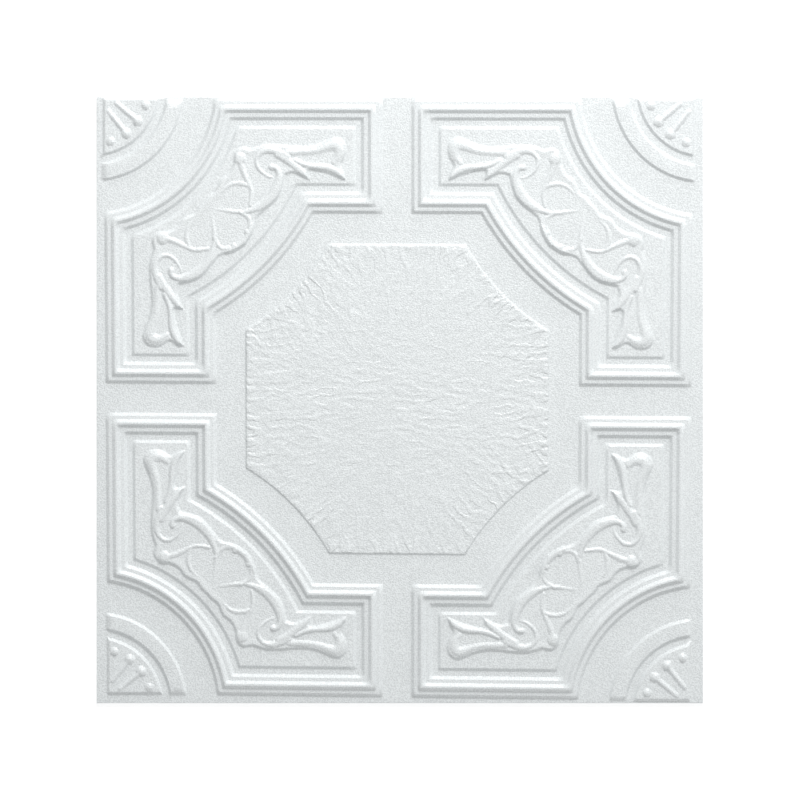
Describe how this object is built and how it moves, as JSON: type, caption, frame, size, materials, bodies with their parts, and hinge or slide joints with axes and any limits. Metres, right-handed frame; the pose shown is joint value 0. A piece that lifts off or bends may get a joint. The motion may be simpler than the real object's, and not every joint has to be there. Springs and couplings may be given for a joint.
{
  "type": "embossed ceiling tile",
  "caption": "Square embossed ceiling tile formed from thin foamed plastic, with stepped frames, scroll ornament, corner discs and an eight-sided middle panel.",
  "frame": {"origin": "middle of the square outline, on the flat back", "axes": "+Z out of the relief side; +X and +Y along the sides, +Y towards the top of the picture"},
  "size_m": [0.5, 0.5, 0.008],
  "materials": {
    "foam": "satin white, fine grain"
  },
  "bodies": {
    "root": {"ceiling_tile": "foam"}
  },
  "joints": []
}
